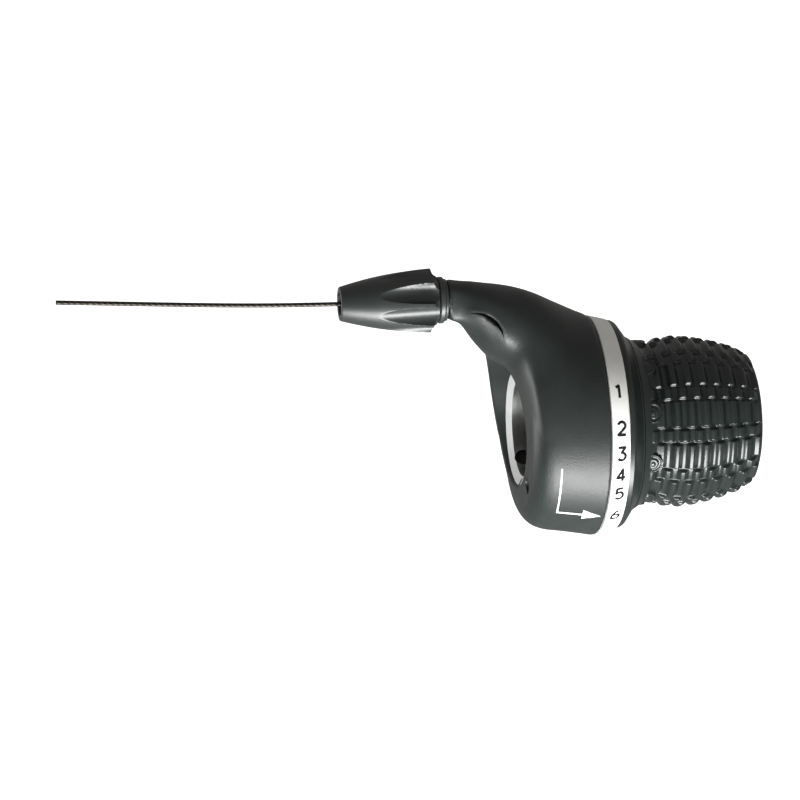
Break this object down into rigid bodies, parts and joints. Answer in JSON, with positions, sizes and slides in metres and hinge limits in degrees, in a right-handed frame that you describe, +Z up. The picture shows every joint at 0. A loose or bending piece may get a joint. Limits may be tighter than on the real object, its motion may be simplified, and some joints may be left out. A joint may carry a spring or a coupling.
{
  "type": "bicycle twist shifter",
  "caption": "Handlebar twist shifter: clamped round housing with a curved cable horn, rotating ribbed rubber grip with a numbered ring, fluted barrel adjuster and bare shift wire.",
  "frame": {"origin": "centre of the handlebar bore at the inboard face", "axes": "+X along the handlebar towards its end, +Z up with the bike level, -Y the side the wire leaves the spool and the gear arrow faces"},
  "size_m": [0.16, 0.0508, 0.0623],
  "materials": {
    "housing_plastic": "black moulded nylon with a fine satin grain",
    "sleeve_metal": "turned aluminium, bright rim",
    "steel": "zinc-plated steel",
    "spring_steel": "hardened spring steel",
    "brass": "turned brass",
    "nylon": "natural slippery nylon",
    "wire_steel": "stranded stainless steel wire, greased",
    "carrier_plastic": "black glass-filled nylon, semi gloss",
    "ring_plastic": "white printed plastic with black numbers",
    "grip_rubber": "black moulded rubber, slightly glossy",
    "knob_plastic": "dark grey-black moulded plastic"
  },
  "bodies": {
    "housing": {"housing_shell": "housing_plastic", "clamp_sleeve": "sleeve_metal", "sleeve_flange": "steel", "housing_screws": "steel", "clamp_screw": "steel", "clamp_insert": "brass", "cable_guide": "nylon", "adjuster_insert": "brass", "detent_spring": "spring_steel", "inner_thrust_washer": "nylon", "outer_thrust_washer": "nylon", "retaining_ring": "spring_steel", "inner_wire_guided": "wire_steel"},
    "grip": {"grip_core": "carrier_plastic", "cable_spool": "nylon", "detent_ring": "nylon", "drive_pins": "steel", "indicator_ring": "ring_plastic", "grip_rubber": "grip_rubber", "inner_wire_wrapped": "wire_steel", "cable_head": "steel"},
    "shift_wire": {"inner_wire_free": "wire_steel"},
    "adjuster_carrier": {"click_collar": "knob_plastic", "adjuster_spring": "spring_steel"},
    "adjuster": {"barrel_adjuster": "knob_plastic", "adjuster_stem": "brass"}
  },
  "joints": [
    {"name": "grip_twist", "type": "hinge", "parent": "housing", "child": "grip", "pos_m": [0, 0, 0], "axis": [1, 0, 0], "range_deg": [0, 73], "deforming": ["detent_spring"]},
    {"name": "cable_pull", "type": "slide", "parent": "housing", "child": "shift_wire", "axis": [1, 0, 0], "range_m": [0, 0.0182], "deforming": ["inner_wire_guided"]},
    {"name": "adjuster_travel", "type": "slide", "parent": "housing", "child": "adjuster_carrier", "axis": [-1, 0, 0], "range_m": [0, 0.004]},
    {"name": "adjuster_turn", "type": "hinge", "parent": "adjuster_carrier", "child": "adjuster", "pos_m": [-0.0419, -0.0142, 0.0297], "axis": [-1, 0, 0], "range_deg": [0, 1800]}
  ],
  "couplings": [
    {"joint": "cable_pull", "follows": "grip_twist", "m_per_rad": 0.0142},
    {"joint": "adjuster_turn", "follows": "adjuster_travel", "rad_per_m": 7854}
  ]
}
